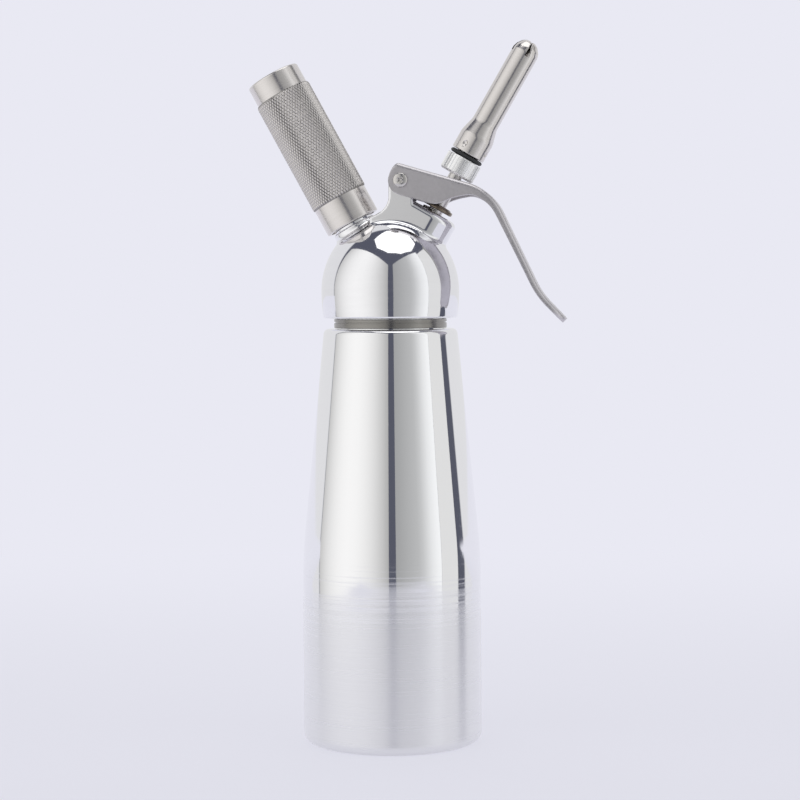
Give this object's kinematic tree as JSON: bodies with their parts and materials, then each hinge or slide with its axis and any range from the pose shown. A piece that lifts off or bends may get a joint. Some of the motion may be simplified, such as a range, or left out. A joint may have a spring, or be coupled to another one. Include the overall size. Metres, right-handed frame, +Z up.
{
  "type": "whipped cream dispenser",
  "caption": "Hand-held whipped cream dispenser: metal bottle, screwed head with lever valve and nozzle, and a knurled holder for a gas charger.",
  "frame": {"origin": "centre of the bottle's flat base, on the surface it stands on", "axes": "+Z up along the bottle, +X towards the lever and nozzle, -X towards the charger holder"},
  "size_m": [0.1397, 0.079, 0.3093],
  "materials": {
    "bottle_aluminium": "mirror polished above, fine brushed below",
    "head_aluminium": "polished casting",
    "steel": "fine turned",
    "lever_steel": "satin",
    "dark_steel": "dark polished",
    "ring_steel": "turned",
    "adapter_aluminium": "bright ribbed",
    "charger_steel": "plain",
    "brass": "turned",
    "rubber": "matt black"
  },
  "bodies": {
    "bottle": {"bottle": "bottle_aluminium", "neck_ring": "ring_steel"},
    "gasket": {"head_gasket": "rubber"},
    "head": {"head_casting": "head_aluminium", "pivot_screw": "steel", "pivot_sleeve": "steel", "guide_bush": "brass", "stem_o_ring": "rubber", "gland_washer": "steel", "valve_spring": "steel", "piercing_pin": "steel", "pin_retainer": "brass", "charger_seal": "rubber", "check_valve_sleeve": "rubber"},
    "lever": {"lever": "lever_steel"},
    "valve": {"valve_stem": "steel", "seal_nut": "steel", "valve_seal": "rubber", "spring_cap": "dark_steel", "nozzle_adapter": "adapter_aluminium"},
    "nozzle_seal": {"nozzle_o_ring": "rubber"},
    "nozzle": {"nozzle": "steel"},
    "charger": {"gas_charger": "charger_steel"},
    "holder": {"charger_holder": "steel"}
  },
  "joints": [
    {"name": "head_rise", "type": "slide", "parent": "bottle", "child": "gasket", "axis": [0, 0, 1], "range_m": [0, 0.012]},
    {"name": "head_turn", "type": "hinge", "parent": "gasket", "child": "head", "pos_m": [0, 0, 0.2], "axis": [0, 0, 1], "range_deg": [0, 1080]},
    {"name": "lever_pivot", "type": "hinge", "parent": "head", "child": "lever", "pos_m": [0.0058, 0, 0.2483], "axis": [0, 1, 0], "range_deg": [0, 6.58], "stiffness_Nm_per_rad": 0.8, "springref_deg": -8.59},
    {"name": "valve_press", "type": "slide", "parent": "head", "child": "valve", "axis": [-0.5, 0, -0.866], "range_m": [0, 0.0022], "deforming": ["valve_spring"]},
    {"name": "nozzle_lift", "type": "slide", "parent": "valve", "child": "nozzle_seal", "axis": [0.5, 0, 0.866], "range_m": [0, 0.005]},
    {"name": "nozzle_turn", "type": "hinge", "parent": "nozzle_seal", "child": "nozzle", "pos_m": [0, 0, 0.2], "axis": [0.5, 0, 0.866], "range_deg": [0, 1800]},
    {"name": "charger_rise", "type": "slide", "parent": "head", "child": "charger", "axis": [-0.4772, 0, 0.8788], "range_m": [0, 0.012]},
    {"name": "holder_turn", "type": "hinge", "parent": "charger", "child": "holder", "pos_m": [0, 0, 0.2], "axis": [-0.4772, 0, 0.8788], "range_deg": [0, 2160]}
  ],
  "couplings": [
    {"joint": "head_rise", "follows": "head_turn", "m_per_rad": 0.00063662},
    {"joint": "valve_press", "follows": "lever_pivot", "m_per_rad": 0.019127},
    {"joint": "nozzle_lift", "follows": "nozzle_turn", "m_per_rad": 0.00015915},
    {"joint": "charger_rise", "follows": "holder_turn", "m_per_rad": 0.00031831}
  ]
}
